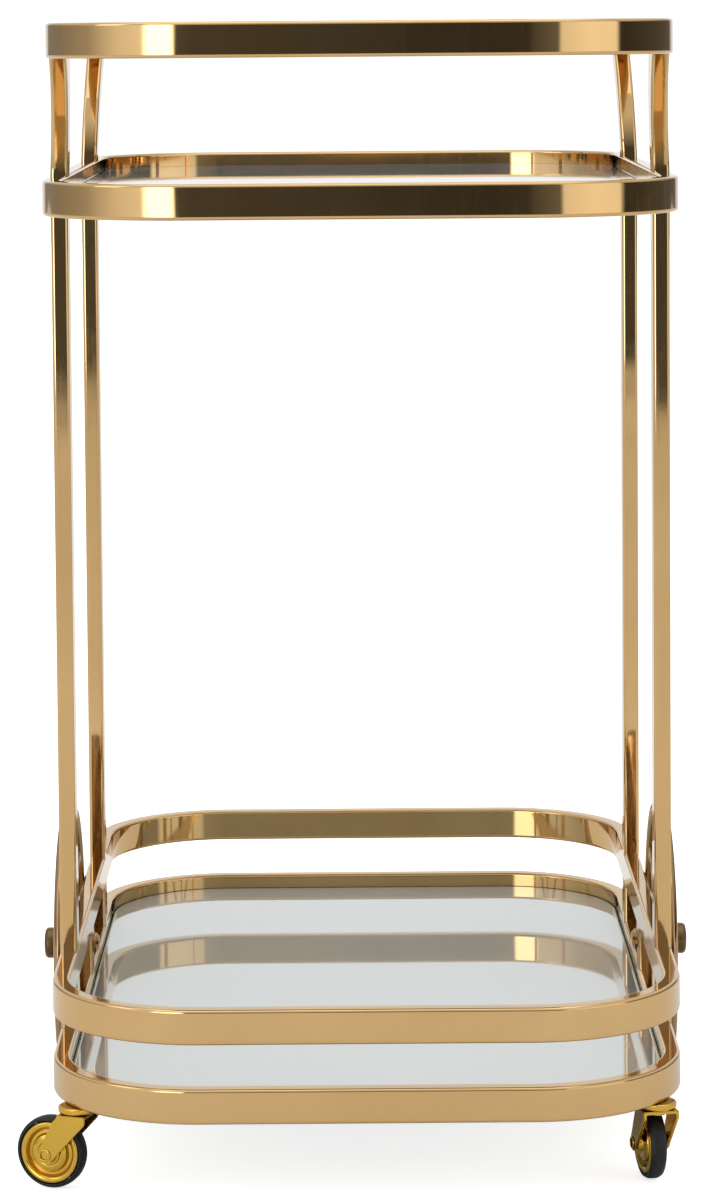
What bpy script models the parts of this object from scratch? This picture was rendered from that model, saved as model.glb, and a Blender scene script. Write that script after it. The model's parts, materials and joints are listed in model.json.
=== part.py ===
"""Bar cart on wheels: a gold two-tier cart with mirrored shelves, big side wheels and four swivel casters.

Metres, +Z up. The origin is on the floor, under the middle of the cart.
+X runs across the cart's width, and Y along its length, with the front end at -Y.
"""

import math

import bmesh
import bpy
from mathutils import Matrix, Vector

# Driving dimensions of the frame
LENGTH = 0.695
WIDTH = 0.4352
CORNER_RADIUS = 0.105
TOP_RAIL_INSET = 0.0035
BAR_THICKNESS = 0.012
BAR_HEIGHT = 0.024
BAR_CHAMFER = 0.0016
LOWER_RIM_BOTTOM = 0.059
GALLERY_BOTTOM = 0.113
UPPER_RIM_BOTTOM = 0.6655
TOP_RAIL_BOTTOM = 0.7725
GAP = 0.0003

# Shelves
PANEL_DROP = 0.011
PANEL_THICKNESS = 0.005
PANEL_PLAY = 0.0005
LEDGE_WIDTH = 0.014
LEDGE_THICKNESS = 0.002

# Uprights
LEG_OFFSET = 0.161
POST_FLARE = 0.040
POST_SLICES = 8

# Big side wheels
WHEEL_RADIUS = 0.104
WHEEL_RIM_DEPTH = 0.009
WHEEL_RIM_CHAMFER = 0.002
WHEEL_INNER_FACE = 0.2182
WHEEL_RIM_WIDTH = 0.010
SPOKE_COUNT = 6
FIRST_SPOKE_ANGLE = math.radians(30)
SPOKE_WIDTH = 0.009
SPOKE_THICKNESS = 0.005
HUB_RADIUS = 0.0165
HUB_BORE = 0.0066
HUB_CHAMFER = 0.0015
HUB_START = 0.2195
HUB_END = 0.2321
AXLE_RADIUS = 0.004
AXLE_HEAD_RADIUS = 0.0075
AXLE_HEAD_HEIGHT = 0.0045
WASHER_RADIUS = 0.0085
CAP_RADIUS = 0.0115
CAP_START = 0.2324
CAP_END = 0.2422
CAP_WALL = 0.003

# Casters
CASTER_ANGLE = math.radians(30)
CASTER_TRAIL = 0.019
CASTER_RADIUS = 0.025
CASTER_WHEEL_HALF = 0.0056
CASTER_TREAD_HALF = 0.002
CASTER_DISC_RADIUS = 0.0215
CASTER_HUB_HALF = 0.0102
FORK_HALF_WIDTH = 0.0125
FORK_PLATE = 0.002
FORK_HALF_LENGTH = 0.0105
FORK_TOP = 0.0535
FORK_BOSS_RADIUS = 0.0058
FORK_NOSE = 0.003
FORK_TAIL_DROP = 0.003
RIVET_RADIUS = 0.0034
RIVET_HEAD_RADIUS = 0.0047
RIVET_HEAD_HEIGHT = 0.0008
STUD_RADIUS = 0.004
STUD_TOP = 0.070
STEM_COLLAR_RADIUS = 0.013
STEM_HEAD_RADIUS = 0.0055
STEM_HEAD_HEIGHT = 0.0025

# Mesh fineness
CORNER_STEPS = 8
SMALL_ROUND_STEPS = 12
MEDIUM_ROUND_STEPS = 16
ROUND_STEPS = 24
BIG_ROUND_STEPS = 40
SHARP_ANGLE = math.radians(35)

# How far a cutter reaches past the piece it cuts
REACH = 0.02

HALF_WIDTH = WIDTH / 2
HALF_LENGTH = LENGTH / 2


def clear_scene():
    for existing in list(bpy.data.objects):
        bpy.data.objects.remove(existing, do_unlink=True)


def material(name, colour, roughness, metallic):
    made = bpy.data.materials.new(name)
    made.use_nodes = True
    shader = made.node_tree.nodes["Principled BSDF"]
    shader.inputs["Base Color"].default_value = (*colour, 1.0)
    shader.inputs["Roughness"].default_value = roughness
    shader.inputs["Metallic"].default_value = metallic
    return made


def link(name, mesh, finish, location=(0, 0, 0), turn=0.0, parent=None):
    """One named object on a mesh, placed by its location and its turn about Z."""
    made = bpy.data.objects.new(name, mesh)
    bpy.context.scene.collection.objects.link(made)
    made.location = location
    made.rotation_euler = (0, 0, turn)
    if parent is not None:
        made.parent = parent
    if finish is not None and not mesh.materials:
        mesh.materials.append(finish)
    return made


def empty(name, location, turn=0.0):
    made = bpy.data.objects.new(name, None)
    bpy.context.scene.collection.objects.link(made)
    made.location = location
    made.rotation_euler = (0, 0, turn)
    return made


def smooth(mesh):
    mesh.shade_smooth()
    mesh.set_sharp_from_angle(angle=SHARP_ANGLE)
    return mesh


def finish_mesh(name, work):
    bmesh.ops.recalc_face_normals(work, faces=work.faces)
    mesh = bpy.data.meshes.new(name)
    work.to_mesh(mesh)
    work.free()
    return smooth(mesh)


def bridge(work, loops, closed_path, cap_ends):
    """Faces between loops of vertices, each loop one cross-section of the piece."""
    count = len(loops)
    for i in range(count if closed_path else count - 1):
        here, after = loops[i], loops[(i + 1) % count]
        for j in range(len(here)):
            k = (j + 1) % len(here)
            work.faces.new((here[j], here[k], after[k], after[j]))
    if cap_ends:
        work.faces.new(loops[0])
        work.faces.new(loops[-1])


def rounded_outline(half_x, half_y, radius, steps=CORNER_STEPS):
    """Points and outward directions around a rounded rectangle."""
    places = []
    corners = ((1, 1, 0), (-1, 1, 90), (-1, -1, 180), (1, -1, 270))
    for side_x, side_y, start in corners:
        centre = Vector((side_x * (half_x - radius), side_y * (half_y - radius), 0))
        for step in range(steps + 1):
            angle = math.radians(start + 90 * step / steps)
            out = Vector((math.cos(angle), math.sin(angle), 0))
            places.append((centre + radius * out, out))
    return places


def chamfered(half_a, half_b, cut):
    """Eight points around a rectangle with its corners cut, or its four corners when nothing is cut."""
    if cut == 0:
        return [(half_a, half_b), (-half_a, half_b), (-half_a, -half_b), (half_a, -half_b)]
    near_a, near_b = half_a - cut, half_b - cut
    return [
        (half_a, near_b), (near_a, half_b), (-near_a, half_b), (-half_a, near_b),
        (-half_a, -near_b), (-near_a, -half_b), (near_a, -half_b), (half_a, -near_b),
    ]


def ring(name, inset, thickness, bottom, height, cut):
    """A closed bar bent around the cart's outline, inset from its outer face."""
    half_x, half_y = HALF_WIDTH - inset, HALF_LENGTH - inset
    middle = bottom + height / 2
    section = chamfered(thickness / 2, height / 2, cut)
    work = bmesh.new()
    loops = []
    for point, out in rounded_outline(half_x, half_y, CORNER_RADIUS - inset):
        centre = point - out * thickness / 2
        loops.append([work.verts.new(centre + out * a + Vector((0, 0, middle + b))) for a, b in section])
    bridge(work, loops, True, False)
    return finish_mesh(name, work)


def plate(name, inset, bottom, height):
    """A flat panel with the cart's outline."""
    work = bmesh.new()
    loops = []
    places = rounded_outline(HALF_WIDTH - inset, HALF_LENGTH - inset, CORNER_RADIUS - inset)
    for level in (bottom, bottom + height):
        loops.append([work.verts.new((p.x, p.y, level)) for p, _ in places])
    bridge(work, loops, False, True)
    return finish_mesh(name, work)


def upright(name, bottom, top, flare=0.0, slices=1):
    """A flat bar from bottom to top. Its section stays level while it curves outwards along Y by flare."""
    rise = top - bottom
    bend = 2 * math.atan2(flare, rise)
    work = bmesh.new()
    loops = []
    for step in range(slices + 1):
        angle = bend * step / slices
        share = step / slices if bend == 0 else math.sin(angle) / math.sin(bend)
        shift = 0.0 if bend == 0 else flare * (1 - math.cos(angle)) / (1 - math.cos(bend))
        section = chamfered(BAR_THICKNESS / 2, BAR_HEIGHT / 2 / math.cos(angle), BAR_CHAMFER)
        loops.append([work.verts.new((a, b + shift, bottom + rise * share)) for a, b in section])
    bridge(work, loops, False, True)
    return finish_mesh(name, work)


def turned(name, profile, axis, steps=ROUND_STEPS, hollow=False):
    """A turned piece about X, Y or Z. The profile holds (radius, distance along the axis) pairs.

    A solid profile starts and ends on the axis. A hollow one is a closed outline clear of it."""
    turns = {
        "X": Matrix.Rotation(math.pi / 2, 3, "Y"),
        "Y": Matrix.Rotation(-math.pi / 2, 3, "X"),
        "Z": Matrix.Identity(3),
    }
    turn = turns[axis]
    work = bmesh.new()
    rows = []
    for radius, along in profile:
        if radius == 0:
            rows.append([work.verts.new(turn @ Vector((0, 0, along)))])
            continue
        row = []
        for step in range(steps):
            angle = 2 * math.pi * step / steps
            point = Vector((radius * math.cos(angle), radius * math.sin(angle), along))
            row.append(work.verts.new(turn @ point))
        rows.append(row)
    pairs = list(zip(rows, rows[1:]))
    if hollow:
        pairs.append((rows[-1], rows[0]))
    for low, high in pairs:
        for step in range(steps):
            after = (step + 1) % steps
            if len(low) == 1:
                work.faces.new((low[0], high[step], high[after]))
            elif len(high) == 1:
                work.faces.new((low[step], low[after], high[0]))
            else:
                work.faces.new((low[step], low[after], high[after], high[step]))
    return finish_mesh(name, work)


def rod(radius, start, end):
    """The profile of a plain rod, for turned()."""
    return [(0, start), (radius, start), (radius, end), (0, end)]


def combined(name, base, tools):
    """The mesh left when each (mesh, location, operation) tool has been applied to base."""
    body = link(name, base, None)
    helpers = []
    for index, (mesh, location, operation) in enumerate(tools):
        helper = link(f"{name}_tool_{index}", mesh, None, location)
        helper.hide_render = True
        helper.display_type = "WIRE"
        helpers.append(helper)
        modifier = body.modifiers.new(f"step_{index}", "BOOLEAN")
        modifier.operation = operation
        modifier.object = helper
    bpy.context.view_layer.update()
    evaluated = body.evaluated_get(bpy.context.evaluated_depsgraph_get())
    made = bpy.data.meshes.new_from_object(evaluated)
    for used in (body, *helpers):
        bpy.data.objects.remove(used, do_unlink=True)
    made.materials.clear()
    return smooth(made)


# Frame ---------------------------------------------------------------------------------------------

def caster_spots():
    """(name, stem x, stem y, heading) of each caster. Heading is the way its wheel trails from the stem."""
    arm = CORNER_RADIUS - BAR_THICKNESS / 2
    x = HALF_WIDTH - CORNER_RADIUS + arm * math.cos(CASTER_ANGLE)
    y = HALF_LENGTH - CORNER_RADIUS + arm * math.sin(CASTER_ANGLE)
    headings = {"front_left": 160, "front_right": 101.5, "rear_left": 108, "rear_right": 75}
    spots = []
    for name, heading in headings.items():
        side_x = 1 if name.endswith("right") else -1
        side_y = -1 if name.startswith("front") else 1
        spots.append((name, side_x * x, side_y * y, math.radians(heading)))
    return spots


def make_rails(gold):
    rails = {
        "top_rail": (TOP_RAIL_INSET, TOP_RAIL_BOTTOM),
        "upper_shelf_rim": (0, UPPER_RIM_BOTTOM),
        "gallery_rail": (0, GALLERY_BOTTOM),
    }
    for name, (inset, bottom) in rails.items():
        link(name, ring(name, inset, BAR_THICKNESS, bottom, BAR_HEIGHT, BAR_CHAMFER), gold)
    plain = ring("lower_shelf_rim", 0, BAR_THICKNESS, LOWER_RIM_BOTTOM, BAR_HEIGHT, BAR_CHAMFER)
    socket = rod(STUD_RADIUS + GAP, LOWER_RIM_BOTTOM - REACH, STUD_TOP + GAP)
    cuts = []
    for name, x, y, _ in caster_spots():
        cutter = turned(f"{name}_socket", socket, "Z", SMALL_ROUND_STEPS)
        cuts.append((cutter, (x, y, 0), "DIFFERENCE"))
    link("lower_shelf_rim", combined("lower_shelf_rim", plain, cuts), gold)


def make_shelf(name, rim_bottom, gold, mirror):
    panel_top = rim_bottom + BAR_HEIGHT - PANEL_DROP
    panel_bottom = panel_top - PANEL_THICKNESS
    ledge_bottom = panel_bottom - GAP - LEDGE_THICKNESS
    panel = plate(f"{name}_panel", BAR_THICKNESS + PANEL_PLAY, panel_bottom, PANEL_THICKNESS)
    link(f"{name}_panel", panel, mirror)
    ledge = ring(f"{name}_ledge", BAR_THICKNESS + GAP, LEDGE_WIDTH, ledge_bottom, LEDGE_THICKNESS, 0)
    link(f"{name}_ledge", ledge, gold)


def make_uprights(gold):
    x = HALF_WIDTH - BAR_THICKNESS / 2
    on_bar = BAR_HEIGHT + GAP
    leg = upright("leg", GALLERY_BOTTOM + on_bar, UPPER_RIM_BOTTOM - GAP)
    low = upright("lower_post", LOWER_RIM_BOTTOM + on_bar, GALLERY_BOTTOM - GAP)
    high = upright("upper_post", UPPER_RIM_BOTTOM + on_bar, TOP_RAIL_BOTTOM - GAP, POST_FLARE, POST_SLICES)
    for end, side_y in (("front", -1), ("rear", 1)):
        for side, side_x in (("left", -1), ("right", 1)):
            spot = (side_x * x, side_y * LEG_OFFSET, 0)
            turn = 0 if side_y > 0 else math.pi
            link(f"leg_{end}_{side}", leg, gold, spot, turn)
            link(f"lower_post_{end}_{side}", low, gold, spot, turn)
            link(f"upper_post_{end}_{side}", high, gold, spot, turn)


# Big side wheels ------------------------------------------------------------------------------------

def axle_block():
    """The short bar at mid length that carries a big wheel's axle between the rim and the gallery."""
    bar = upright("axle_block", LOWER_RIM_BOTTOM + BAR_HEIGHT + GAP, GALLERY_BOTTOM - GAP)
    bore = turned("axle_bore", rod(AXLE_RADIUS + GAP, -REACH, REACH), "X", MEDIUM_ROUND_STEPS)
    return combined("axle_block", bar, [(bore, (0, 0, WHEEL_RADIUS), "DIFFERENCE")])


def axle_bolt():
    """Domed head inside the frame, and a plain shank out to the cap nut, from the cart's middle outwards."""
    inner = HALF_WIDTH - BAR_THICKNESS - GAP
    outer = CAP_END - CAP_WALL - GAP
    head, dome = AXLE_HEAD_RADIUS, AXLE_HEAD_HEIGHT
    profile = [
        (0, inner - dome), (head * 0.7, inner - dome * 0.9), (head, inner - dome * 0.45), (head, inner),
        (AXLE_RADIUS, inner), (AXLE_RADIUS, outer), (0, outer),
    ]
    return turned("axle_bolt", profile, "X", MEDIUM_ROUND_STEPS)


def cap_nut():
    """A round nut bored from its inner face, with a small chamfer there and a larger one outside."""
    bore, floor = AXLE_RADIUS + GAP, CAP_END - CAP_WALL
    small, large = 0.001, 0.002
    profile = [
        (0, floor), (bore, floor), (bore, CAP_START), (CAP_RADIUS - small, CAP_START),
        (CAP_RADIUS, CAP_START + small), (CAP_RADIUS, CAP_END - large), (CAP_RADIUS - large, CAP_END),
        (0, CAP_END),
    ]
    return turned("cap_nut", profile, "X")


def wheel_rim():
    outer, inner = WHEEL_RADIUS, WHEEL_RADIUS - WHEEL_RIM_DEPTH
    start, end, cut = WHEEL_INNER_FACE, WHEEL_INNER_FACE + WHEEL_RIM_WIDTH, WHEEL_RIM_CHAMFER
    profile = [
        (outer, start + cut), (outer, end - cut), (outer - cut, end), (inner + cut, end),
        (inner, end - cut), (inner, start + cut), (inner + cut, start), (outer - cut, start),
    ]
    return turned("wheel_rim", profile, "X", BIG_ROUND_STEPS, hollow=True)


def wheel_spider():
    """The hub with its flat spokes, which reach the inside of the rim."""
    start, end, cut = HUB_START, HUB_END, HUB_CHAMFER
    profile = [
        (HUB_BORE, start), (HUB_BORE, end), (HUB_RADIUS - cut, end),
        (HUB_RADIUS, end - cut), (HUB_RADIUS, start + cut), (HUB_RADIUS - cut, start),
    ]
    hub = turned("hub", profile, "X", SPOKE_COUNT * 4, hollow=True)
    middle = WHEEL_INNER_FACE + WHEEL_RIM_WIDTH / 2
    flat_of_rim = (WHEEL_RADIUS - WHEEL_RIM_DEPTH) * math.cos(math.pi / BIG_ROUND_STEPS)
    root, tip = (HUB_RADIUS + HUB_BORE) / 2, flat_of_rim - 2 * GAP
    work = bmesh.new()
    for index in range(SPOKE_COUNT):
        angle = FIRST_SPOKE_ANGLE + 2 * math.pi * index / SPOKE_COUNT
        along = Vector((0, math.cos(angle), math.sin(angle)))
        across = Vector((0, -math.sin(angle), math.cos(angle))) * SPOKE_WIDTH / 2
        out = Vector((SPOKE_THICKNESS / 2, 0, 0))
        base = Vector((middle, 0, 0))
        signs = ((1, 1), (-1, 1), (-1, -1), (1, -1))
        loops = []
        for distance in (root, tip):
            centre = base + along * distance
            loops.append([work.verts.new(centre + out * a + across * b) for a, b in signs])
        bridge(work, loops, False, True)
    spokes = finish_mesh("spokes", work)
    return combined("wheel_spider", hub, [(spokes, (0, 0, 0), "UNION")])


def sleeve(name, inner, outer, start, end):
    profile = [(outer, start), (outer, end), (inner, end), (inner, start)]
    return turned(name, profile, "X", hollow=True)


def make_big_wheels(gold, steel, bushing):
    block, bolt, nut = axle_block(), axle_bolt(), cap_nut()
    rim, spider = wheel_rim(), wheel_spider()
    bush = sleeve("hub_bush", AXLE_RADIUS + GAP, HUB_BORE - GAP, HUB_START, HUB_END)
    washer = sleeve("axle_washer", AXLE_RADIUS + GAP, WASHER_RADIUS, HALF_WIDTH + GAP, HUB_START - GAP)
    for side, side_x in (("left", -1), ("right", 1)):
        turn = 0 if side_x > 0 else math.pi
        spot = (side_x * (HALF_WIDTH - BAR_THICKNESS / 2), 0, 0)
        link(f"axle_block_{side}", block, gold, spot, turn)
        axle = empty(f"big_wheel_axis_{side}", (0, 0, WHEEL_RADIUS), turn)
        link(f"axle_bolt_{side}", bolt, steel, parent=axle)
        link(f"axle_washer_{side}", washer, steel, parent=axle)
        link(f"axle_cap_{side}", nut, gold, parent=axle)
        link(f"big_wheel_rim_{side}", rim, gold, parent=axle)
        link(f"big_wheel_spider_{side}", spider, gold, parent=axle)
        link(f"big_wheel_bush_{side}", bush, bushing, parent=axle)


# Casters --------------------------------------------------------------------------------------------

def fork_outline():
    """The fork's side view: level at the crown, tapering to a round boss at the axle."""
    half, low = FORK_HALF_LENGTH, FORK_TOP - FORK_PLATE
    boss = Vector((CASTER_TRAIL, CASTER_RADIUS))
    points = [(-half, FORK_TOP), (half, FORK_TOP), (half, low), (half + FORK_NOSE, low - FORK_NOSE)]
    first, last, steps = math.radians(20), math.radians(-150), 6
    for step in range(steps + 1):
        angle = first + (last - first) * step / steps
        point = boss + FORK_BOSS_RADIUS * Vector((math.cos(angle), math.sin(angle)))
        points.append(tuple(point))
    points += [(-half, low - FORK_TAIL_DROP), (-half, low)]
    return points


def fork():
    """A pressed U: two side plates and a crown, bored for the stem and for the axle."""
    outline = fork_outline()
    arm = outline[2:]
    outer, inner = FORK_HALF_WIDTH, FORK_HALF_WIDTH - FORK_PLATE
    work = bmesh.new()
    rows = {}
    for side in (-1, 1):
        rows[side, "outer"] = [work.verts.new((t, side * outer, z)) for t, z in outline]
        rows[side, "inner"] = [work.verts.new((t, side * inner, z)) for t, z in arm]
        work.faces.new(rows[side, "outer"])
        work.faces.new(rows[side, "inner"])
        shell = rows[side, "outer"][2:]
        for index in range(len(arm) - 1):
            lining = rows[side, "inner"]
            work.faces.new((shell[index], shell[index + 1], lining[index + 1], lining[index]))
    left, right = rows[-1, "outer"], rows[1, "outer"]
    left_arm, right_arm = rows[-1, "inner"], rows[1, "inner"]
    work.faces.new((left[0], left[1], right[1], right[0]))
    work.faces.new((left[1], right[1], right[2], right_arm[0], left_arm[0], left[2]))
    work.faces.new((left[0], right[0], right[-1], right_arm[-1], left_arm[-1], left[-1]))
    work.faces.new((left_arm[0], right_arm[0], right_arm[-1], left_arm[-1]))
    base = finish_mesh("fork", work)
    through_crown = rod(STUD_RADIUS + GAP, FORK_TOP - REACH / 2, FORK_TOP + REACH / 2)
    stem_bore = turned("stem_bore", through_crown, "Z", SMALL_ROUND_STEPS)
    rivet_bore = turned("rivet_bore", rod(RIVET_RADIUS + GAP, -REACH, REACH), "Y", SMALL_ROUND_STEPS)
    return combined("fork", base, [
        (stem_bore, (0, 0, 0), "DIFFERENCE"),
        (rivet_bore, (CASTER_TRAIL, 0, CASTER_RADIUS), "DIFFERENCE"),
    ])


def caster_stem():
    """From below: the head that carries the crown, the swivel neck, the bearing collar and the stud."""
    head, head_top = STEM_HEAD_RADIUS, FORK_TOP - FORK_PLATE - GAP
    profile = [
        (0, head_top - STEM_HEAD_HEIGHT), (head, head_top - STEM_HEAD_HEIGHT * 0.8), (head, head_top),
        (STUD_RADIUS, head_top),
        (STUD_RADIUS, FORK_TOP + GAP), (STEM_COLLAR_RADIUS, FORK_TOP + GAP),
        (STEM_COLLAR_RADIUS, LOWER_RIM_BOTTOM - GAP), (STUD_RADIUS, LOWER_RIM_BOTTOM - GAP),
        (STUD_RADIUS, STUD_TOP), (0, STUD_TOP),
    ]
    return turned("caster_stem", profile, "Z", MEDIUM_ROUND_STEPS)


def mirrored(side):
    """The other half of a wheel's profile."""
    return [(radius, -along) for radius, along in reversed(side)]


def caster_disc():
    """The metal wheel centre, with a stepped dish on each side and its hub. It turns about Y."""
    hub, dish, lip = 0.0055, (0.0070, 0.0170), 0.0190
    dish_root, dish_edge = 0.0045, 0.0040
    side = [
        (RIVET_RADIUS + GAP, CASTER_HUB_HALF), (hub, CASTER_HUB_HALF), (dish[0], dish_root),
        (dish[1], dish_edge), (lip, CASTER_WHEEL_HALF), (CASTER_DISC_RADIUS, CASTER_WHEEL_HALF),
    ]
    return turned("caster_disc", side + mirrored(side), "Y", hollow=True)


def caster_tyre():
    """A square-sided tyre with a crowned tread."""
    outer, half = CASTER_RADIUS, CASTER_WHEEL_HALF
    side = [
        (CASTER_DISC_RADIUS + GAP, half), (outer - 0.0015, half), (outer - 0.0004, half - 0.0012),
        (outer, CASTER_TREAD_HALF),
    ]
    return turned("caster_tyre", side + mirrored(side), "Y", hollow=True)


def caster_axle():
    """A rivet through the fork and the wheel, with a flat head on each side."""
    edge, head = FORK_HALF_WIDTH + GAP, RIVET_HEAD_RADIUS
    side = [
        (0, edge + RIVET_HEAD_HEIGHT), (head * 0.9, edge + RIVET_HEAD_HEIGHT), (head, edge),
        (RIVET_RADIUS, edge),
    ]
    return turned("caster_axle", side + mirrored(side), "Y", SMALL_ROUND_STEPS)


def make_casters(brass, steel, rubber):
    stem, yoke, disc, tyre, axle = caster_stem(), fork(), caster_disc(), caster_tyre(), caster_axle()
    for name, x, y, heading in caster_spots():
        swivel = empty(f"swivel_axis_{name}", (x, y, 0), heading)
        link(f"caster_stem_{name}", stem, steel, parent=swivel)
        link(f"caster_fork_{name}", yoke, brass, parent=swivel)
        centre = (CASTER_TRAIL, 0, CASTER_RADIUS)
        link(f"caster_disc_{name}", disc, brass, centre, parent=swivel)
        link(f"caster_tyre_{name}", tyre, rubber, centre, parent=swivel)
        link(f"caster_axle_{name}", axle, steel, centre, parent=swivel)


def main():
    clear_scene()
    gold = material("plated_gold", (0.60, 0.39, 0.17), 0.08, 1.0)
    brass = material("caster_brass", (0.80, 0.56, 0.16), 0.22, 1.0)
    steel = material("zinc_steel", (0.62, 0.58, 0.50), 0.30, 1.0)
    mirror = material("mirror_glass", (0.86, 0.89, 0.88), 0.03, 1.0)
    rubber = material("black_rubber", (0.03, 0.03, 0.035), 0.55, 0.0)
    bushing = material("nylon_bush", (0.85, 0.84, 0.80), 0.50, 0.0)
    make_rails(gold)
    make_shelf("upper_shelf", UPPER_RIM_BOTTOM, gold, mirror)
    make_shelf("lower_shelf", LOWER_RIM_BOTTOM, gold, mirror)
    make_uprights(gold)
    make_big_wheels(gold, steel, bushing)
    make_casters(brass, steel, rubber)
    bpy.context.view_layer.update()


main()
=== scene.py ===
"""Looks of the bar cart: plated gold bars, mirrored shelves, spoked side wheels and small brass casters.

Metres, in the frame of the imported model. Places come from the frame's nodes and joints.
"""

import json
import math

import bmesh
import bpy
from mathutils import Matrix, Vector


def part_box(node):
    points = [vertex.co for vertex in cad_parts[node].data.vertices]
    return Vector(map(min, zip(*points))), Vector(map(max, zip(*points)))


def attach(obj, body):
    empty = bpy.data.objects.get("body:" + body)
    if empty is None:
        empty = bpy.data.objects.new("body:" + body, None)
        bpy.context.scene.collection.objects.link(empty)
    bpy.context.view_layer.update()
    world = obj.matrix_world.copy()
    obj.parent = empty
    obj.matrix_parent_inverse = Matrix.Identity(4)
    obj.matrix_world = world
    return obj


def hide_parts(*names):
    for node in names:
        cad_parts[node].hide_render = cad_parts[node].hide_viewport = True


# Bars and shelves
EDGE_RADIUS = 0.0021
OUTER_RADIUS = 0.105
CLEARANCE = 0.0003
WELD = 0.0012
LEDGE_WIDTH = 0.014
LEDGE_EDGE = 0.0006
PANEL_BEVEL = 0.0012

# Side wheels
WHEEL_RIM_DEPTH = 0.009
HUB_RADIUS = 0.0165
HUB_COLLAR_RADIUS = 0.0108
HUB_SHOULDER_RADIUS = 0.0150
SPOKES = 6
FIRST_SPOKE_ANGLE = 30
SPOKE_EDGE = 0.0012
CAP_BORE = 0.0043
CAP_WALL = 0.003

# Casters: RIVET_EDGE and each half are measured from the middle of the piece
CASTER_HUB_HALF = 0.0102
CASTER_BORE = 0.0037
CASTER_DISC_HALF = 0.0056
TYRE_INNER_RADIUS = 0.0218
TYRE_RADIUS = 0.0250
FORK_HALF_WIDTH = 0.0125
FORK_HALF_LENGTH = 0.0105
FORK_PLATE = 0.0020
FORK_BOSS_RADIUS = 0.0058
FORK_NOSE = 0.003
FORK_TAIL_DROP = 0.003
FORK_EDGE = 0.0005
STEM_NECK_RADIUS = 0.004
STEM_COLLAR_RADIUS = 0.013
STEM_HEAD_RADIUS = 0.0055
RIVET_EDGE = 0.0128
RIVET_HEAD_HEIGHT = 0.0008
RIVET_HEAD_RADIUS = 0.0045
RIVET_RADIUS = 0.0034
RIVET_HOLE_RADIUS = 0.0030
RIVET_HOLE_DEPTH = 0.011

# How finely the bends are divided, and the support points that keep flats flat beside them
SUPPORT = 0.0004
STRAIGHT_SUPPORT = 0.002
CORNER_STEPS = 40
EDGE_STEPS = 4
POST_STEPS = 32
QUARTERS = ((1, 1, 0), (-1, 1, 90), (-1, -1, 180), (1, -1, 270))

# Camera: it stands in front of the cart's end, with its lens at the height of the top rail
CAMERA_DISTANCE = 2.638
CAMERA_OFFSET = -0.0045
CAMERA_HEIGHT = 0.7911
CAMERA_LENS = 120.15
CAMERA_PITCH = 3.962
CAMERA_YAW = 0.058
CAMERA_ROLL = 0.45
CAMERA_SHIFT = -0.245

# Studio: levels of the white world, the ceiling and the floor's glow. The walls fade into the ceiling
# between CEILING_START and CEILING_END, which are heights on a sphere of radius 1
WHITE_LEVEL = 1.1
CEILING_LEVEL = 0.95
CEILING_START = 0.08
CEILING_END = 0.50
FLOOR_GLOW = 0.72
FLOOR_LEVEL = -0.0002
FLOOR_FRONT = -5.6
FLOOR_BACK = 12.0
FLOOR_HALF_WIDTH = 10.0

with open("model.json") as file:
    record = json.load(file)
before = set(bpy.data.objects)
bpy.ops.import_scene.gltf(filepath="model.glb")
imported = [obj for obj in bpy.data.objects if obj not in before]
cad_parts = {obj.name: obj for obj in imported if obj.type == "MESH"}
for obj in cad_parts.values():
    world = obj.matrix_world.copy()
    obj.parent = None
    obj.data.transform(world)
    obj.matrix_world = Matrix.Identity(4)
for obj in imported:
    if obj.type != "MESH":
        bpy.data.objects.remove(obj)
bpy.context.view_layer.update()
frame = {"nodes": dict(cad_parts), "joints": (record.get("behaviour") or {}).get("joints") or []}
JOINTS = {joint["name"]: joint for joint in frame["joints"]}
RIM_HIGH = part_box("upper_shelf_rim")[1]
HALF_X, HALF_Y = RIM_HIGH.x, RIM_HIGH.y
LEG_LOW, LEG_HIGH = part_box("leg_front_right")
BAR_THICKNESS = LEG_HIGH.x - LEG_LOW.x
SIDES = ("left", "right")
CORNERS = ("front_left", "front_right", "rear_left", "rear_right")


# Materials ------------------------------------------------------------------------------------------

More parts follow.
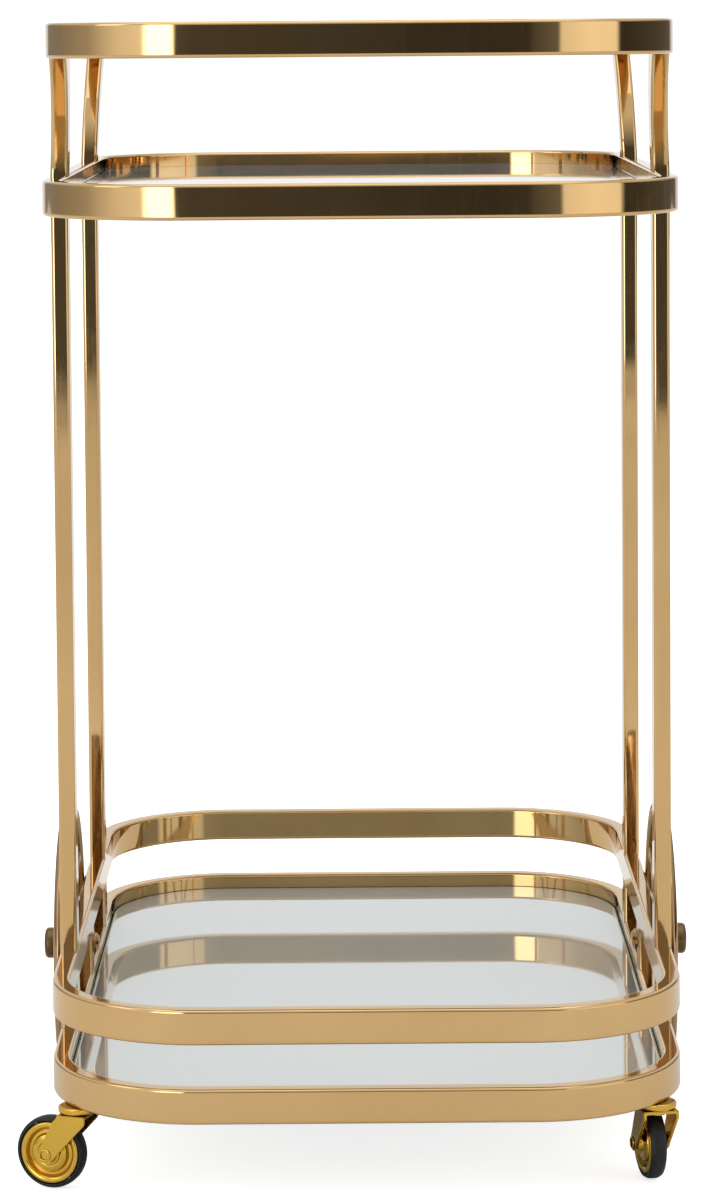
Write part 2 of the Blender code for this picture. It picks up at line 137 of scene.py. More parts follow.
class Graph:
    """A material's node tree, with short calls for the nodes that the finishes share."""

    def __init__(self, name):
        self.material = bpy.data.materials.new(name)
        self.material.use_nodes = True
        self.tree = self.material.node_tree
        self.shader = self.tree.nodes["Principled BSDF"]
        self.place = self.add("ShaderNodeTexCoord").outputs["Object"]

    def add(self, kind, **settings):
        node = self.tree.nodes.new(kind)
        for key, value in settings.items():
            setattr(node, key, value)
        return node

    def link(self, out, into):
        self.tree.links.new(out, into)

    def stretched(self, scale):
        mapping = self.add("ShaderNodeMapping")
        self.link(self.place, mapping.inputs["Vector"])
        mapping.inputs["Scale"].default_value = scale
        return mapping.outputs["Vector"]

    def noise(self, scale, detail=3.0, roughness=0.5, stretch=None):
        node = self.add("ShaderNodeTexNoise")
        self.link(self.stretched(stretch) if stretch else self.place, node.inputs["Vector"])
        node.inputs["Scale"].default_value = scale
        node.inputs["Detail"].default_value = detail
        node.inputs["Roughness"].default_value = roughness
        return node.outputs["Fac"]

    def span(self, value, low, high, to_low, to_high):
        node = self.add("ShaderNodeMapRange")
        self.link(value, node.inputs["Value"])
        limits = {"From Min": low, "From Max": high, "To Min": to_low, "To Max": to_high}
        for key, number in limits.items():
            node.inputs[key].default_value = number
        return node.outputs["Result"]

    def blend(self, factor, first, second):
        node = self.add("ShaderNodeMix", data_type="RGBA")
        self.link(factor, node.inputs["Factor"])
        for socket, colour in ((node.inputs["A"], first), (node.inputs["B"], second)):
            if isinstance(colour, tuple):
                socket.default_value = (*colour, 1.0)
            else:
                self.link(colour, socket)
        return node.outputs["Result"]

    def sum(self, first, second, operation="ADD"):
        node = self.add("ShaderNodeMath", operation=operation)
        self.link(first, node.inputs[0])
        if isinstance(second, float):
            node.inputs[1].default_value = second
        else:
            self.link(second, node.inputs[1])
        return node.outputs["Value"]

    def bump(self, height, strength, distance, normal=None):
        node = self.add("ShaderNodeBump")
        self.link(height, node.inputs["Height"])
        node.inputs["Strength"].default_value = strength
        node.inputs["Distance"].default_value = distance
        if normal is not None:
            self.link(normal, node.inputs["Normal"])
        return node.outputs["Normal"]

    def set(self, **values):
        for key, value in values.items():
            socket = self.shader.inputs[key.replace("_", " ")]
            if isinstance(value, bpy.types.NodeSocket):
                self.link(value, socket)
            elif isinstance(value, tuple):
                socket.default_value = (*value, 1.0)
            else:
                socket.default_value = value
        return self.material


def polished_metal(name, colour, deep, polish, wave, scratch):
    """Plated metal: cloudy polish, faint ripples of the bar under the plating, hairlines and small specks."""
    graph = Graph(name)
    clouds = graph.noise(9.0, 4.0)
    smears = graph.noise(34.0, 5.0, 0.6)
    hairlines = graph.noise(420.0, 2.0, 0.5, (1.0, 1.0, 0.04))
    specks = graph.add("ShaderNodeTexVoronoi", feature="F1")
    graph.link(graph.place, specks.inputs["Vector"])
    specks.inputs["Scale"].default_value = 260.0
    pits = graph.span(specks.outputs["Distance"], 0.02, 0.07, 1.0, 0.0)
    tint = graph.blend(graph.span(clouds, 0.35, 0.65, 0.0, 1.0), colour, deep)
    pit_colour = (deep[0] * 0.55, deep[1] * 0.5, deep[2] * 0.5)
    tint = graph.blend(graph.sum(pits, 0.25, "MULTIPLY"), tint, pit_colour)
    rough = graph.span(smears, 0.35, 0.72, polish, polish * 1.9)
    rough = graph.sum(rough, graph.span(hairlines, 0.55, 0.8, 0.0, scratch))
    ripple = graph.noise(14.0, 1.0, 0.4)
    normal = graph.bump(ripple, 0.35, wave)
    normal = graph.bump(hairlines, 0.02, 0.0002, normal)
    return graph.set(Base_Color=tint, Metallic=1.0, Roughness=rough, Normal=normal)


def mirror_panel(name):
    """Mirrored glass: a silvery, faintly green face with dust and a few wiped streaks."""
    graph = Graph(name)
    dust = graph.noise(60.0, 6.0, 0.7)
    wipes = graph.noise(6.0, 3.0, 0.6, (1.0, 0.35, 1.0))
    tint = graph.blend(graph.span(wipes, 0.4, 0.7, 0.0, 1.0), (0.590, 0.632, 0.618), (0.615, 0.645, 0.635))
    tint = graph.blend(graph.span(dust, 0.62, 0.8, 0.0, 0.15), tint, (0.68, 0.68, 0.67))
    rough = graph.span(wipes, 0.35, 0.7, 0.015, 0.05)
    metal = graph.span(dust, 0.45, 0.8, 0.545, 0.53)
    return graph.set(Base_Color=tint, Metallic=metal, Roughness=rough)


def glass_edge(name):
    """The polished edge of the panel, where the glass shows its green."""
    graph = Graph(name)
    streaks = graph.noise(90.0, 3.0, 0.5, (1.0, 1.0, 6.0))
    tint = graph.blend(graph.span(streaks, 0.35, 0.7, 0.0, 1.0), (0.10, 0.22, 0.17), (0.26, 0.42, 0.35))
    rough = graph.span(streaks, 0.3, 0.7, 0.06, 0.16)
    return graph.set(Base_Color=tint, Roughness=rough, Metallic=0.0, IOR=1.5)


def rubber(name):
    """Black tyre rubber with a fine grain and greyer, rougher scuffs."""
    graph = Graph(name)
    grain = graph.noise(900.0, 3.0, 0.6)
    scuffs = graph.noise(120.0, 5.0, 0.65)
    tint = graph.blend(graph.span(scuffs, 0.5, 0.75, 0.0, 1.0), (0.006, 0.006, 0.007), (0.030, 0.029, 0.028))
    rough = graph.span(scuffs, 0.35, 0.7, 0.34, 0.6)
    normal = graph.bump(grain, 0.25, 0.0002)
    return graph.set(Base_Color=tint, Roughness=rough, Normal=normal, Specular_IOR_Level=0.28)


def nylon(name):
    """Off-white moulded bush."""
    graph = Graph(name)
    grain = graph.noise(500.0, 4.0, 0.6)
    tint = graph.blend(graph.span(grain, 0.35, 0.7, 0.0, 1.0), (0.62, 0.60, 0.54), (0.72, 0.70, 0.65))
    rough = graph.span(grain, 0.3, 0.7, 0.4, 0.55)
    return graph.set(Base_Color=tint, Roughness=rough, Normal=graph.bump(grain, 0.15, 0.0001))


GOLD = polished_metal(
    "plated_gold_finish", (0.605, 0.402, 0.185), (0.56, 0.365, 0.16), polish=0.045, wave=0.0012, scratch=0.05)
WHEEL_GOLD = polished_metal(
    "side_wheel_finish", (0.42, 0.27, 0.135), (0.34, 0.21, 0.10), polish=0.07, wave=0.0008, scratch=0.06)
CAP_BRONZE = polished_metal(
    "cap_bronze_finish", (0.17, 0.105, 0.045), (0.12, 0.075, 0.035), polish=0.18, wave=0.0006, scratch=0.08)
BRASS = polished_metal(
    "caster_brass_finish", (0.66, 0.425, 0.075), (0.52, 0.315, 0.045), polish=0.12, wave=0.0006, scratch=0.10)
STEEL = polished_metal(
    "zinc_steel_finish", (0.55, 0.47, 0.33), (0.44, 0.37, 0.25), polish=0.20, wave=0.0005, scratch=0.12)
MIRROR = mirror_panel("mirror_face")
GLASS_EDGE = glass_edge("mirror_edge")
RUBBER = rubber("tyre_rubber")
NYLON = nylon("bush_nylon")


# Shapes ---------------------------------------------------------------------------------------------

def finished(name, work, node, body, materials, sharp=38):
    """Makes the piece from a bmesh: smooth, riding on its body and standing for its node."""
    bmesh.ops.recalc_face_normals(work, faces=work.faces)
    mesh = bpy.data.meshes.new(name)
    work.to_mesh(mesh)
    work.free()
    mesh.shade_smooth()
    mesh.set_sharp_from_angle(angle=math.radians(sharp))
    for finish in materials:
        mesh.materials.append(finish)
    piece = bpy.data.objects.new(name, mesh)
    bpy.context.scene.collection.objects.link(piece)
    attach(piece, body)
    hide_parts(node)


def skin(work, loops, closed_path=False, cap_ends=False):
    """Faces between each loop of vertices and the next. The path can be closed, or capped at both ends."""
    count = len(loops)
    for i in range(count if closed_path else count - 1):
        here, after = loops[i], loops[(i + 1) % count]
        for j in range(len(here)):
            k = (j + 1) % len(here)
            work.faces.new((here[j], here[k], after[k], after[j]))
    if cap_ends:
        work.faces.new(loops[0])
        work.faces.new(loops[-1])


def soft_rectangle(half_a, half_b, radius):
    """A rectangle with round corners, and a support point beside each corner so that its flats stay flat."""
    points = []
    for side_a, side_b, start in QUARTERS:
        centre_a, centre_b = side_a * (half_a - radius), side_b * (half_b - radius)
        corner = []
        for step in range(EDGE_STEPS + 1):
            angle = math.radians(start + 90 * step / EDGE_STEPS)
            corner.append((centre_a + radius * math.cos(angle), centre_b + radius * math.sin(angle)))
        before, after = math.radians(start - 90), math.radians(start + 180)
        points.append((corner[0][0] + SUPPORT * math.cos(before), corner[0][1] + SUPPORT * math.sin(before)))
        points += corner
        points.append((corner[-1][0] + SUPPORT * math.cos(after), corner[-1][1] + SUPPORT * math.sin(after)))
    return points


def cart_outline(half_x, half_y, radius):
    """Points and outward directions around a rounded rectangle, with support points on its straight runs."""
    places = []
    for side_x, side_y, start in QUARTERS:
        centre = Vector((side_x * (half_x - radius), side_y * (half_y - radius), 0))
        first, last = math.radians(start), math.radians(start + 90)
        out_first = Vector((math.cos(first), math.sin(first), 0))
        out_last = Vector((math.cos(last), math.sin(last), 0))
        places.append((centre + radius * out_first - STRAIGHT_SUPPORT * out_last, out_first))
        for step in range(CORNER_STEPS + 1):
            angle = first + (last - first) * step / CORNER_STEPS
            out = Vector((math.cos(angle), math.sin(angle), 0))
            places.append((centre + radius * out, out))
        places.append((centre + radius * out_last - STRAIGHT_SUPPORT * out_first, out_last))
    return places


def ring(node, thickness, edge):
    """A bar bent right round the cart, filling its node's box."""
    low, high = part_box(node)
    inset = HALF_X - high.x
    middle, half = (low.z + high.z) / 2, (high.z - low.z) / 2
    section = soft_rectangle(thickness / 2, half, edge)
    work = bmesh.new()
    loops = []
    for point, out in cart_outline(HALF_X - inset, HALF_Y - inset, OUTER_RADIUS - inset):
        centre = point - out * thickness / 2 + Vector((0, 0, middle))
        loops.append([work.verts.new(centre + out * a + Vector((0, 0, b))) for a, b in section])
    skin(work, loops, closed_path=True)
    finished(f"{node}_finished", work, node, "cart", (GOLD,))


def panel(node):
    """A mirrored panel with a ground bevel all round. Its faces are mirror and its edge shows the glass."""
    low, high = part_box(node)
    inset = HALF_X - high.x
    work = bmesh.new()
    loops = []
    rows = (
        (low.z, PANEL_BEVEL), (low.z + PANEL_BEVEL / 2, 0.0), (high.z - PANEL_BEVEL / 2, 0.0),
        (high.z, PANEL_BEVEL),
    )
    for level, pull in rows:
        places = cart_outline(HALF_X - inset - pull, HALF_Y - inset - pull, OUTER_RADIUS - inset - pull)
        loops.append([work.verts.new((point.x, point.y, level)) for point, _ in places])
    skin(work, loops)
    rim_faces = len(work.faces)
    work.faces.new(loops[0])
    work.faces.new(loops[-1])
    work.faces.ensure_lookup_table()
    for face in work.faces[:rim_faces]:
        face.material_index = 1
    finished(f"{node}_finished", work, node, "cart", (MIRROR, GLASS_EDGE), sharp=20)


def upright(node):
    """A straight flat bar in its node's box, with each end let into the bar it is welded to."""
    low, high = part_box(node)
    middle, size = (low + high) / 2, high - low
    section = soft_rectangle(size.x / 2, size.y / 2, EDGE_RADIUS)
    work = bmesh.new()
    loops = []
    for level in (low.z - WELD, low.z, high.z, high.z + WELD):
        loops.append([work.verts.new((middle.x + a, middle.y + b, level)) for a, b in section])
    skin(work, loops, cap_ends=True)
    finished(f"{node}_finished", work, node, "cart", (GOLD,))


def curved_post(node):
    """The post under the top rail: it curves outwards along the cart as it rises, and leans in to meet it."""
    low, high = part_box(node)
    leg_low, leg_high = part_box(node.replace("upper_post", "leg"))
    base = (leg_low.y + leg_high.y) / 2
    half_bar = (leg_high.y - leg_low.y) / 2
    way = 1 if base > 0 else -1
    rise = high.z - low.z
    reach = (high.y - base) if way > 0 else (base - low.y)
    bend, flare = solved_bend(rise, reach, half_bar)
    lean = (HALF_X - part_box("top_rail")[1].x) * (1 if high.x > 0 else -1)
    stations = [(0.0, 0.0, -WELD)]
    for step in range(POST_STEPS + 1):
        angle = bend * step / POST_STEPS
        shift = flare * (1 - math.cos(angle)) / (1 - math.cos(bend))
        stations.append((angle, shift, rise * math.sin(angle) / math.sin(bend)))
    stations.append((bend, flare, rise + WELD))
    work = bmesh.new()
    loops = []
    for angle, shift, climb in stations:
        section = soft_rectangle((high.x - low.x) / 2, half_bar / math.cos(angle), EDGE_RADIUS)
        inward = lean * min(max(climb / rise, 0.0), 1.0)
        centre = Vector(((low.x + high.x) / 2 - inward, base + way * shift, low.z + climb))
        loops.append([work.verts.new(centre + Vector((a, way * b, 0))) for a, b in section])
    skin(work, loops, cap_ends=True)
    finished(f"{node}_finished", work, node, "cart", (GOLD,))


def solved_bend(rise, reach, half_bar):
    """The bend of an arc that starts upright, climbs by rise, and ends with its outer edge at reach."""
    low, high = 0.1, 1.4
    for _ in range(50):
        bend = (low + high) / 2
        flare = rise * math.tan(bend / 2)
        if flare + half_bar / math.cos(bend) > reach:
            high = bend
        else:
            low = bend
    return bend, flare


def turned_rows(work, profile, matrix, steps):
    """Rings of vertices for a profile of (radius, along) turned about the local Z axis."""
    rows = []
    for radius, along in profile:
        if radius == 0:
            rows.append([work.verts.new(matrix @ Vector((0, 0, along)))])
            continue
        row = []
        for step in range(steps):
            angle = 2 * math.pi * step / steps
            point = Vector((radius * math.cos(angle), radius * math.sin(angle), along))
            row.append(work.verts.new(matrix @ point))
        rows.append(row)
    return rows


def turn(work, profile, matrix, steps, hollow=False):
    """A turned shape. A hollow profile is a closed outline, and a solid one starts and ends on the axis."""
    rows = turned_rows(work, profile, matrix, steps)
    pairs = list(zip(rows, rows[1:]))
    if hollow:
        pairs.append((rows[-1], rows[0]))
    for low, high in pairs:
        for step in range(steps):
            after = (step + 1) % steps
            if len(low) == 1:
                work.faces.new((low[0], high[step], high[after]))
            elif len(high) == 1:
                work.faces.new((low[step], low[after], high[0]))
            else:
                work.faces.new((low[step], low[after], high[after], high[step]))


def softened(profile, radius, closed=False, steps=3):
    """The profile with each corner rounded by a small arc through a quadratic curve."""
    count = len(profile)
    points = []
    for index, corner in enumerate(profile):
        on_axis = corner[0] == 0
        ends = not closed and index in (0, count - 1)
        if ends or on_axis:
            points.append(corner)
            continue
        here = Vector(corner)
        before = Vector(profile[index - 1]) - here
        after = Vector(profile[(index + 1) % count]) - here
        cut = min(radius, before.length * 0.45, after.length * 0.45)
        start, end = here + before.normalized() * cut, here + after.normalized() * cut
        for step in range(steps + 1):
            t = step / steps
            place = start * (1 - t) ** 2 + here * 2 * t * (1 - t) + end * t ** 2
            points.append((place.x, place.y))
    return points


def axis_matrix(direction, origin):
    """Local Z along direction, at origin."""
    return Matrix.Translation(origin) @ Vector(direction).to_track_quat("Z", "Y").to_matrix().to_4x4()


# Big side wheels -------------------------------------------------------------------------------------

def big_wheel_frame(side):
    """(matrix, outer radius, width). Local Z is the axle, pointing outwards from the wheel's inner face."""
    low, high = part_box(f"big_wheel_rim_{side}")
    way = 1 if side == "right" else -1
    inner = low.x if way > 0 else high.x
    centre_z = (low.z + high.z) / 2
    return axis_matrix((way, 0, 0), (inner, 0, centre_z)), (high.z - low.z) / 2, high.x - low.x


def big_wheel(side):
    """The thin rim, hollowed slightly along its tread and chamfered at its edges, with its spider."""
    matrix, outer, width = big_wheel_frame(side)
    body = f"big_wheel_{side}"
    inner = outer - WHEEL_RIM_DEPTH
    work = bmesh.new()
    profile = [
        (outer, 0.0030), (outer - 0.0004, width / 2), (outer, width - 0.0030), (outer - 0.0028, width),
        (inner + 0.0022, width), (inner, width - 0.0022), (inner, 0.0022), (inner + 0.0022, 0),
        (outer - 0.0028, 0),
    ]
    turn(work, softened(profile, 0.0016, closed=True), matrix, 160, hollow=True)
    node = f"big_wheel_rim_{side}"
    finished(f"{node}_finished", work, node, body, (WHEEL_GOLD,))
    big_wheel_spider(side, body, matrix, inner, width)


def big_wheel_spider(side, body, matrix, rim_inside, width):
    """Hub with a raised collar and six flat spokes that thicken at both ends."""
    node = f"big_wheel_spider_{side}"
    bush_low, bush_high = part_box(f"big_wheel_bush_{side}")
    bore = (bush_high.z - bush_low.z) / 2 + CLEARANCE
    start, end = sorted(abs(x) - abs(matrix.translation.x) for x in (bush_low.x, bush_high.x))
    work = bmesh.new()
    profile = [
        (bore, start), (bore, end), (HUB_COLLAR_RADIUS - 0.0008, end), (HUB_COLLAR_RADIUS, end - 0.0010),
        (HUB_SHOULDER_RADIUS, end - 0.0012), (HUB_RADIUS, end - 0.0028), (HUB_RADIUS, start + 0.0028),
        (HUB_SHOULDER_RADIUS, start + 0.0012), (HUB_COLLAR_RADIUS, start + 0.0010),
        (HUB_COLLAR_RADIUS - 0.0008, start),
    ]
    turn(work, softened(profile, 0.0007, closed=True), matrix, 96, hollow=True)
    stations = (
        (HUB_RADIUS - 0.0022, 0.0064, 0.0032), (HUB_RADIUS + 0.004, 0.0050, 0.0027),
        (HUB_RADIUS + 0.014, 0.0044, 0.0025), (rim_inside - 0.012, 0.0044, 0.0025),
        (rim_inside - 0.004, 0.0052, 0.0028), (rim_inside - CLEARANCE, 0.0066, 0.0034),
    )
    for index in range(SPOKES):
        angle = math.radians(FIRST_SPOKE_ANGLE) + 2 * math.pi * index / SPOKES
        lay = matrix @ Matrix.Rotation(angle, 4, "Z")
        loops = []
        for distance, half_width, half_depth in stations:
            section = soft_rectangle(half_width, half_depth, SPOKE_EDGE)
            loops.append([work.verts.new(lay @ Vector((distance, a, width / 2 + b))) for a, b in section])
        skin(work, loops, cap_ends=True)
    finished(f"{node}_finished", work, node, body, (WHEEL_GOLD,))


def axle_cap(side):
    """The round cap nut on the axle's outer end, with a domed face."""
    node = f"axle_cap_{side}"
    low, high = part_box(node)
    way = 1 if side == "right" else -1
    length, radius = high.x - low.x, (high.z - low.z) / 2
    start = low.x if way > 0 else high.x
    matrix = axis_matrix((way, 0, 0), (start, 0, (low.z + high.z) / 2))
    profile = [
        (0, length - CAP_WALL), (CAP_BORE, length - CAP_WALL), (CAP_BORE, 0), (radius - 0.0012, 0),
        (radius, 0.0012), (radius, length - 0.0026), (radius - 0.0014, length - 0.0008),
        (radius * 0.55, length - 0.0001), (0, length),
    ]
    work = bmesh.new()
    turn(work, softened(profile, 0.0005), matrix, 72)
    finished(f"{node}_finished", work, node, "cart", (CAP_BRONZE,))


# Casters ---------------------------------------------------------------------------------------------

def caster_frame(corner):
    """(matrix, trail, wheel height). Local X runs from the stem to the wheel, and local Y is the axle."""
    stem = Vector(JOINTS[f"swivel_{corner}"]["pos_m"])
    roller = JOINTS[f"roller_{corner}_spin"]
    centre, axle = Vector(roller["pos_m"]), Vector(roller["axis"])
    back = Vector((axle.y, -axle.x, 0))
    matrix = Matrix.Translation((stem.x, stem.y, 0)) @ Matrix(
        ((back.x, axle.x, 0, 0), (back.y, axle.y, 0, 0), (0, 0, 1, 0), (0, 0, 0, 1)))
    return matrix, (centre.xy - stem.xy).length, centre.z


def axle_lay(corner):
    """A matrix at the middle of the caster's wheel, with local Z along its axle."""
    matrix, trail, height = caster_frame(corner)
    return matrix @ Matrix.Translation((trail, 0, height)) @ Matrix.Rotation(-math.pi / 2, 4, "X")


def both_sides(side):
    """A closed outline: half of it, and its mirror image across the middle of the axle."""
    return side + [(radius, -along) for radius, along in reversed(side)]


def caster_wheel(corner):
    """Dished metal centre with pressed rings, and the tyre round it."""
    lay = axle_lay(corner)
    body = f"roller_{corner}"
    disc = [
        (CASTER_BORE, CASTER_HUB_HALF), (0.0052, CASTER_HUB_HALF), (0.0058, CASTER_HUB_HALF - 0.0006),
        (0.0064, 0.0066), (0.0076, 0.0060), (0.0084, 0.0066), (0.0104, 0.0066), (0.0112, 0.0060),
        (0.0126, 0.0054), (0.0134, 0.0022), (0.0158, 0.0018), (0.0170, 0.0046), (0.0180, CASTER_DISC_HALF),
        (0.0194, 0.0060), (0.0208, CASTER_DISC_HALF), (0.0215, CASTER_DISC_HALF - 0.0012),
    ]
    work = bmesh.new()
    turn(work, softened(both_sides(disc), 0.0006, closed=True), lay, 96, hollow=True)
    node = f"caster_disc_{corner}"
    finished(f"{node}_finished", work, node, body, (BRASS,), sharp=60)
    tyre = [
        (TYRE_INNER_RADIUS, CASTER_DISC_HALF), (TYRE_RADIUS - 0.0016, CASTER_DISC_HALF),
        (TYRE_RADIUS - 0.0002, 0.0032), (TYRE_RADIUS, 0.0), (TYRE_RADIUS - 0.0002, -0.0032),
        (TYRE_RADIUS - 0.0016, -CASTER_DISC_HALF), (TYRE_INNER_RADIUS, -CASTER_DISC_HALF),
    ]
    work = bmesh.new()
    turn(work, softened(tyre, 0.0009, closed=True, steps=5), lay, 120, hollow=True)
    node = f"caster_tyre_{corner}"
    finished(f"{node}_finished", work, node, body, (RUBBER,), sharp=60)


def caster_fork(corner):
    """A pressed U: crown and two arms that taper to round bosses, with softened edges."""
    matrix, trail, height = caster_frame(corner)
    node = f"caster_fork_{corner}"
    top, half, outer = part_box(node)[1].z, FORK_HALF_LENGTH, FORK_HALF_WIDTH
    inner = outer - FORK_PLATE
    floor = top - FORK_PLATE
    outline = [(-half, top), (half, top), (half, floor), (half + FORK_NOSE, floor - FORK_NOSE)]
    steps, first, last = 24, 20, -150
    for step in range(steps + 1):
        angle = math.radians(first + (last - first) * step / steps)
        boss = (trail + FORK_BOSS_RADIUS * math.cos(angle), height + FORK_BOSS_RADIUS * math.sin(angle))
        outline.append(boss)
    outline += [(-half, floor - FORK_TAIL_DROP), (-half, floor)]
    arm = outline[2:]
    work = bmesh.new()
    rows = {}
    for way in (-1, 1):
        rows[way, "out"] = [work.verts.new((t, way * outer, z)) for t, z in outline]
        rows[way, "in"] = [work.verts.new((t, way * inner, z)) for t, z in arm]
        work.faces.new(rows[way, "out"])
        work.faces.new(rows[way, "in"])
        shell, lining = rows[way, "out"][2:], rows[way, "in"]
        for index in range(len(arm) - 1):
            work.faces.new((shell[index], shell[index + 1], lining[index + 1], lining[index]))
    left, right = rows[-1, "out"], rows[1, "out"]
    left_in, right_in = rows[-1, "in"], rows[1, "in"]
    work.faces.new((left[0], left[1], right[1], right[0]))
    work.faces.new((left[1], right[1], right[2], right_in[0], left_in[0], left[2]))
    work.faces.new((left[0], right[0], right[-1], right_in[-1], left_in[-1], left[-1]))
    work.faces.new((left_in[0], right_in[0], right_in[-1], left_in[-1]))
    bmesh.ops.recalc_face_normals(work, faces=work.faces)
    edges = [e for e in work.edges if len(e.link_faces) == 2 and e.calc_face_angle(0) > math.radians(40)]
    bmesh.ops.bevel(work, geom=edges, offset=FORK_EDGE, segments=2, affect="EDGES", clamp_overlap=True)
    bmesh.ops.transform(work, matrix=matrix, verts=work.verts)
    finished(f"{node}_finished", work, node, f"fork_{corner}", (BRASS,))


def caster_stem(corner):
    """Head under the crown, swivel collar between the crown and the rim, and the stud that enters the rim."""
    node = f"caster_stem_{corner}"
    low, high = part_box(node)
    matrix = caster_frame(corner)[0]
    collar_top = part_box("lower_shelf_rim")[0].z - CLEARANCE
    collar_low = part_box(f"caster_fork_{corner}")[1].z + CLEARANCE
    head_top = collar_low - FORK_PLATE - 2 * CLEARANCE
    neck, collar, head = STEM_NECK_RADIUS, STEM_COLLAR_RADIUS, STEM_HEAD_RADIUS
    profile = [
        (0, low.z), (head - 0.0015, low.z + 0.0001), (head, low.z + 0.0008), (head, head_top),
        (neck - 0.0002, head_top), (neck - 0.0002, collar_low), (collar - 0.0012, collar_low),
        (collar, collar_low + 0.0013), (collar, collar_top - 0.0006), (collar - 0.0008, collar_top),
        (neck, collar_top), (neck, high.z), (0, high.z),
    ]
    work = bmesh.new()
    turn(work, softened(profile, 0.0004), matrix, 64)
    finished(f"{node}_finished", work, node, "cart", (BRASS,))


def caster_axle(corner):
    """The tubular rivet through fork and wheel: each end has a rolled head round a hole, its inside painted
    black as painted shade for the deep hole.
    """
    node = f"caster_axle_{corner}"
    lay = axle_lay(corner)
    edge, head, hole = RIVET_EDGE, RIVET_HEAD_HEIGHT, RIVET_HOLE_RADIUS
    side = [
        (0, edge - RIVET_HOLE_DEPTH), (hole, edge - RIVET_HOLE_DEPTH), (hole, edge + head * 0.6),
        (hole + 0.0004, edge + head), (RIVET_HEAD_RADIUS - 0.0005, edge + head * 0.8),
        (RIVET_HEAD_RADIUS, edge), (RIVET_RADIUS, edge),
    ]
    work = bmesh.new()
    turn(work, softened(both_sides(side), 0.0004), lay, 48)
    back = lay.inverted()
    # Faces inside the hole take the black tyre rubber: painted shade standing for the dark of the hole's
    # depth, not a finish of the rivet.
    for face in work.faces:
        radii = [(back @ vertex.co).xy.length for vertex in face.verts]
        if max(radii) < hole + 0.0001:
            face.material_index = 1
    finished(f"{node}_finished", work, node, f"fork_{corner}", (BRASS, RUBBER))


# Kept nodes, stage, light and camera --------------------------------------------------------------------

def dress_kept_nodes():
    """The CAD nodes that stay get their finish."""
    finishes = {"axle_bolt": WHEEL_GOLD, "axle_washer": STEEL, "big_wheel_bush": NYLON}
    for name, node in frame["nodes"].items():
        for start, finish in finishes.items():
            if name.startswith(start):
                node.data.materials.clear()
                node.data.materials.append(finish)


def stage():
    """A pale floor that ends a few metres in front of the cart, where the dark side of the studio starts."""
    sides = (-FLOOR_HALF_WIDTH, FLOOR_HALF_WIDTH)
    corners = [(x, FLOOR_FRONT) for x in sides] + [(x, FLOOR_BACK) for x in reversed(sides)]
    work = bmesh.new()
    work.faces.new([work.verts.new((x, y, FLOOR_LEVEL)) for x, y in corners])
    mesh = bpy.data.meshes.new("studio_floor")
    work.to_mesh(mesh)
    work.free()
    floor = bpy.data.objects.new("studio_floor", mesh)
    bpy.context.scene.collection.objects.link(floor)
    graph = Graph("studio_floor_finish")
    mottle = graph.noise(1.5, 2.0)
    tint = graph.blend(graph.span(mottle, 0.3, 0.7, 0.0, 1.0), (0.74, 0.735, 0.73), (0.77, 0.765, 0.76))
    path = graph.add("ShaderNodeLightPath")
    glow = graph.span(path.outputs["Is Camera Ray"], 0.0, 1.0, 0.0, FLOOR_GLOW)
    graph.set(Emission_Color=(1.0, 1.0, 1.0), Emission_Strength=glow)
    floor.data.materials.append(graph.set(Base_Color=tint, Roughness=0.85))


def area_light(name, place, aim, size, power):
    light = bpy.data.lights.new(name, "AREA")
    light.shape = "RECTANGLE"
    light.size, light.size_y = size
    light.energy = power
    made = bpy.data.objects.new(name, light)
    bpy.context.scene.collection.objects.link(made)
    made.location = place
    made.rotation_mode = "QUATERNION"
    made.rotation_quaternion = (Vector(aim) - Vector(place)).to_track_quat("-Z", "Y")


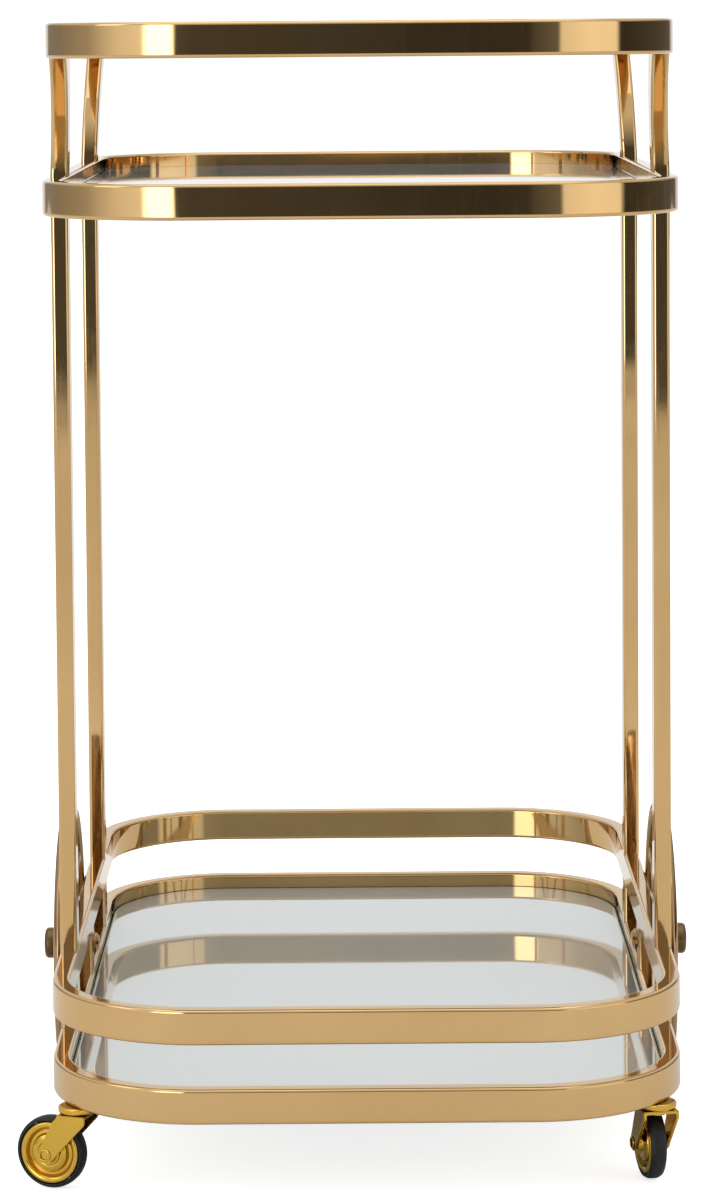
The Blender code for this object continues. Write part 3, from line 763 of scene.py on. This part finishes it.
def studio_world():
    """White to the camera and to diffuse light. Polished surfaces see a studio round the cart: a dark end
    before it, a tall light on its front left, a broad reflector on its front right, bright walls behind."""
    world = bpy.data.worlds.new("studio")
    bpy.context.scene.world = world
    world.use_nodes = True
    tree = world.node_tree
    tree.nodes.clear()
    node = tree.nodes.new
    link = tree.links.new
    coordinate = node("ShaderNodeTexCoord")
    split = node("ShaderNodeSeparateXYZ")
    link(coordinate.outputs["Generated"], split.inputs["Vector"])
    front = node("ShaderNodeMath")
    front.operation = "MULTIPLY"
    front.inputs[1].default_value = -1.0
    link(split.outputs["Y"], front.inputs[0])
    bearing = node("ShaderNodeMath")
    bearing.operation = "ARCTAN2"
    link(split.outputs["X"], bearing.inputs[0])
    link(front.outputs["Value"], bearing.inputs[1])
    turn_share = node("ShaderNodeMapRange")
    turn_share.inputs["From Min"].default_value = -math.pi
    turn_share.inputs["From Max"].default_value = math.pi
    link(bearing.outputs["Value"], turn_share.inputs["Value"])
    walls = node("ShaderNodeValToRGB")
    ramp_stops(walls.color_ramp, (
        (-180, 0.95), (-156, 0.90), (-152, 0.30), (-123, 0.36), (-87, 0.54), (-60, 1.10), (-39, 1.30),
        (-34, 5.0), (-16, 5.0), (-13, 0.12), (-3, 0.105), (0, 0.075), (1.5, 0.05), (3, 0.06), (5, 0.11),
        (24, 0.22), (27, 1.25), (50, 1.5), (73, 1.45), (77, 0.05), (120, 0.10), (150, 0.14), (157, 0.85),
        (180, 0.95)))
    link(turn_share.outputs["Result"], walls.inputs["Fac"])
    height = node("ShaderNodeMapRange")
    height.inputs["From Min"].default_value = CEILING_START
    height.inputs["From Max"].default_value = CEILING_END
    link(split.outputs["Z"], height.inputs["Value"])
    ceiling = node("ShaderNodeMix")
    ceiling.data_type = "RGBA"
    link(height.outputs["Result"], ceiling.inputs["Factor"])
    link(walls.outputs["Color"], ceiling.inputs["A"])
    ceiling.inputs["B"].default_value = (CEILING_LEVEL, CEILING_LEVEL, CEILING_LEVEL, 1.0)
    path = node("ShaderNodeLightPath")
    seen = node("ShaderNodeMix")
    seen.data_type = "RGBA"
    link(path.outputs["Is Glossy Ray"], seen.inputs["Factor"])
    seen.inputs["A"].default_value = (WHITE_LEVEL, WHITE_LEVEL, WHITE_LEVEL, 1.0)
    link(ceiling.outputs["Result"], seen.inputs["B"])
    background = node("ShaderNodeBackground")
    link(seen.outputs["Result"], background.inputs["Color"])
    background.inputs["Strength"].default_value = 1.0
    out = node("ShaderNodeOutputWorld")
    link(background.outputs["Background"], out.inputs["Surface"])


def ramp_stops(ramp, stops):
    """Grey levels by bearing in degrees, from behind the cart by its left and its front to its right."""
    while len(ramp.elements) > 1:
        ramp.elements.remove(ramp.elements[-1])
    for index, (degrees, level) in enumerate(stops):
        place = (degrees + 180) / 360
        stop = ramp.elements[0] if index == 0 else ramp.elements.new(place)
        stop.position = place
        stop.color = (level, level, level, 1.0)


def camera():
    """The camera in front of the cart's end, looking along it."""
    made = bpy.data.objects.new("camera", bpy.data.cameras.new("camera"))
    bpy.context.scene.collection.objects.link(made)
    made.location = (CAMERA_OFFSET, -HALF_Y - CAMERA_DISTANCE, CAMERA_HEIGHT)
    yaw = Matrix.Rotation(math.radians(CAMERA_YAW), 4, "Z")
    pitch = Matrix.Rotation(math.radians(90 - CAMERA_PITCH), 4, "X")
    roll = Matrix.Rotation(math.radians(-CAMERA_ROLL), 4, "Z")
    made.rotation_euler = (yaw @ pitch @ roll).to_euler()
    made.data.sensor_width = 36.0
    made.data.lens = CAMERA_LENS
    made.data.shift_y = CAMERA_SHIFT
    bpy.context.scene.camera = made


def main():
    camera()
    studio_world()
    stage()
    area_light("overhead_softbox", (0.0, -0.4, 3.2), (0, 0, 0.3), (3.0, 3.0), 26)
    area_light("left_softbox", (-2.6, -1.2, 2.0), (0, 0, 0.4), (1.2, 1.8), 8)
    for node in ("top_rail", "upper_shelf_rim", "gallery_rail", "lower_shelf_rim"):
        ring(node, BAR_THICKNESS, EDGE_RADIUS)
    for shelf in ("upper_shelf", "lower_shelf"):
        panel(f"{shelf}_panel")
        ring(f"{shelf}_ledge", LEDGE_WIDTH, LEDGE_EDGE)
    for end in ("front", "rear"):
        for side in SIDES:
            upright(f"leg_{end}_{side}")
            upright(f"lower_post_{end}_{side}")
            curved_post(f"upper_post_{end}_{side}")
    for side in SIDES:
        upright(f"axle_block_{side}")
        big_wheel(side)
        axle_cap(side)
    for corner in CORNERS:
        caster_wheel(corner)
        caster_fork(corner)
        caster_stem(corner)
        caster_axle(corner)
    dress_kept_nodes()
    bpy.context.scene.view_settings.view_transform = "Standard"


main()
